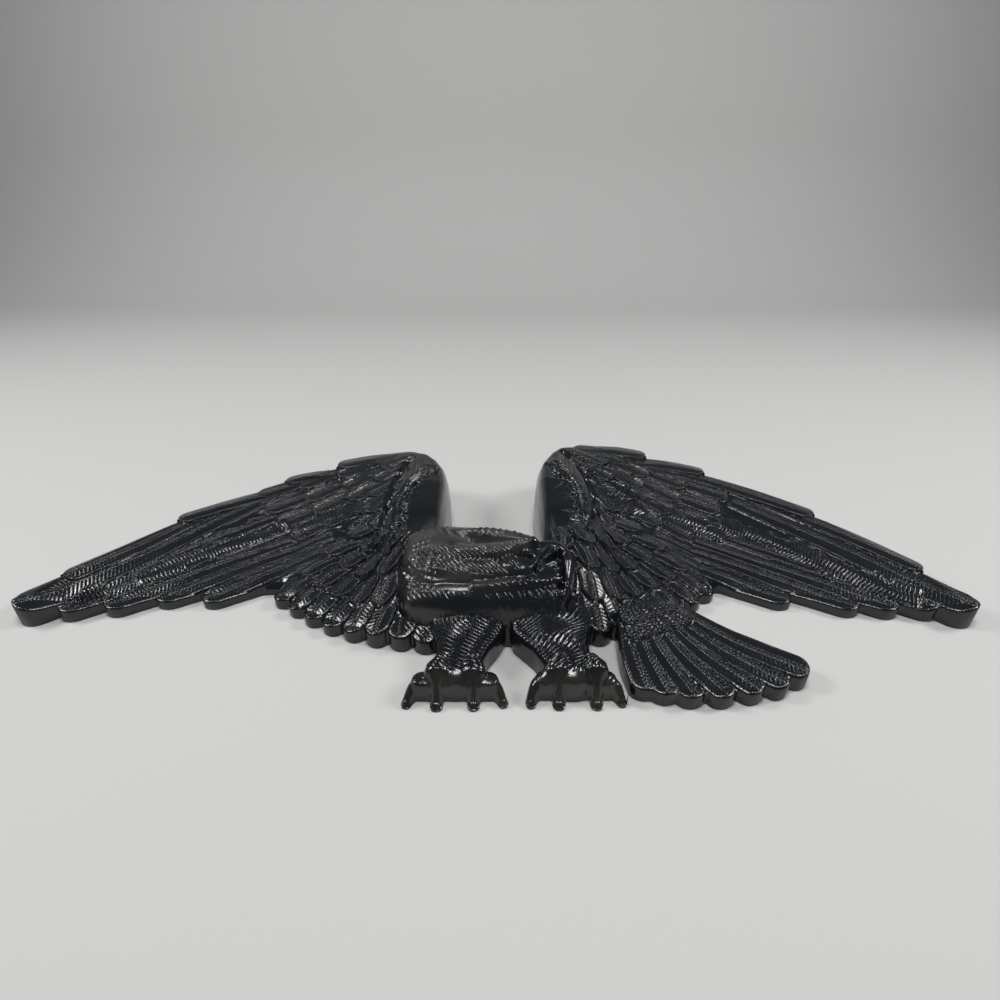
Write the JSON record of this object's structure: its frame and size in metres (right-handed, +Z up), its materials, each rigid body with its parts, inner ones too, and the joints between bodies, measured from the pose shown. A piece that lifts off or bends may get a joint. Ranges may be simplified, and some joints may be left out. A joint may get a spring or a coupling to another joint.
{
  "type": "eagle wall plaque",
  "caption": "Cast wall plaque of a perched eagle with spread wings, its head turned to the side, its tail fanned to one side and its talons below.",
  "frame": {"origin": "on the flat face of the hanging pad behind the breast, in the plane of the wall", "axes": "+X to the viewer's right along the wingspan, +Y into the wall, +Z up the wall; the relief faces -Y"},
  "size_m": [0.6882, 0.057, 0.2837],
  "materials": {
    "black_paint": "gloss blue-black paint over a cast relief, browner in the hollows"
  },
  "bodies": {
    "root": {"eagle": "black_paint"}
  },
  "joints": []
}
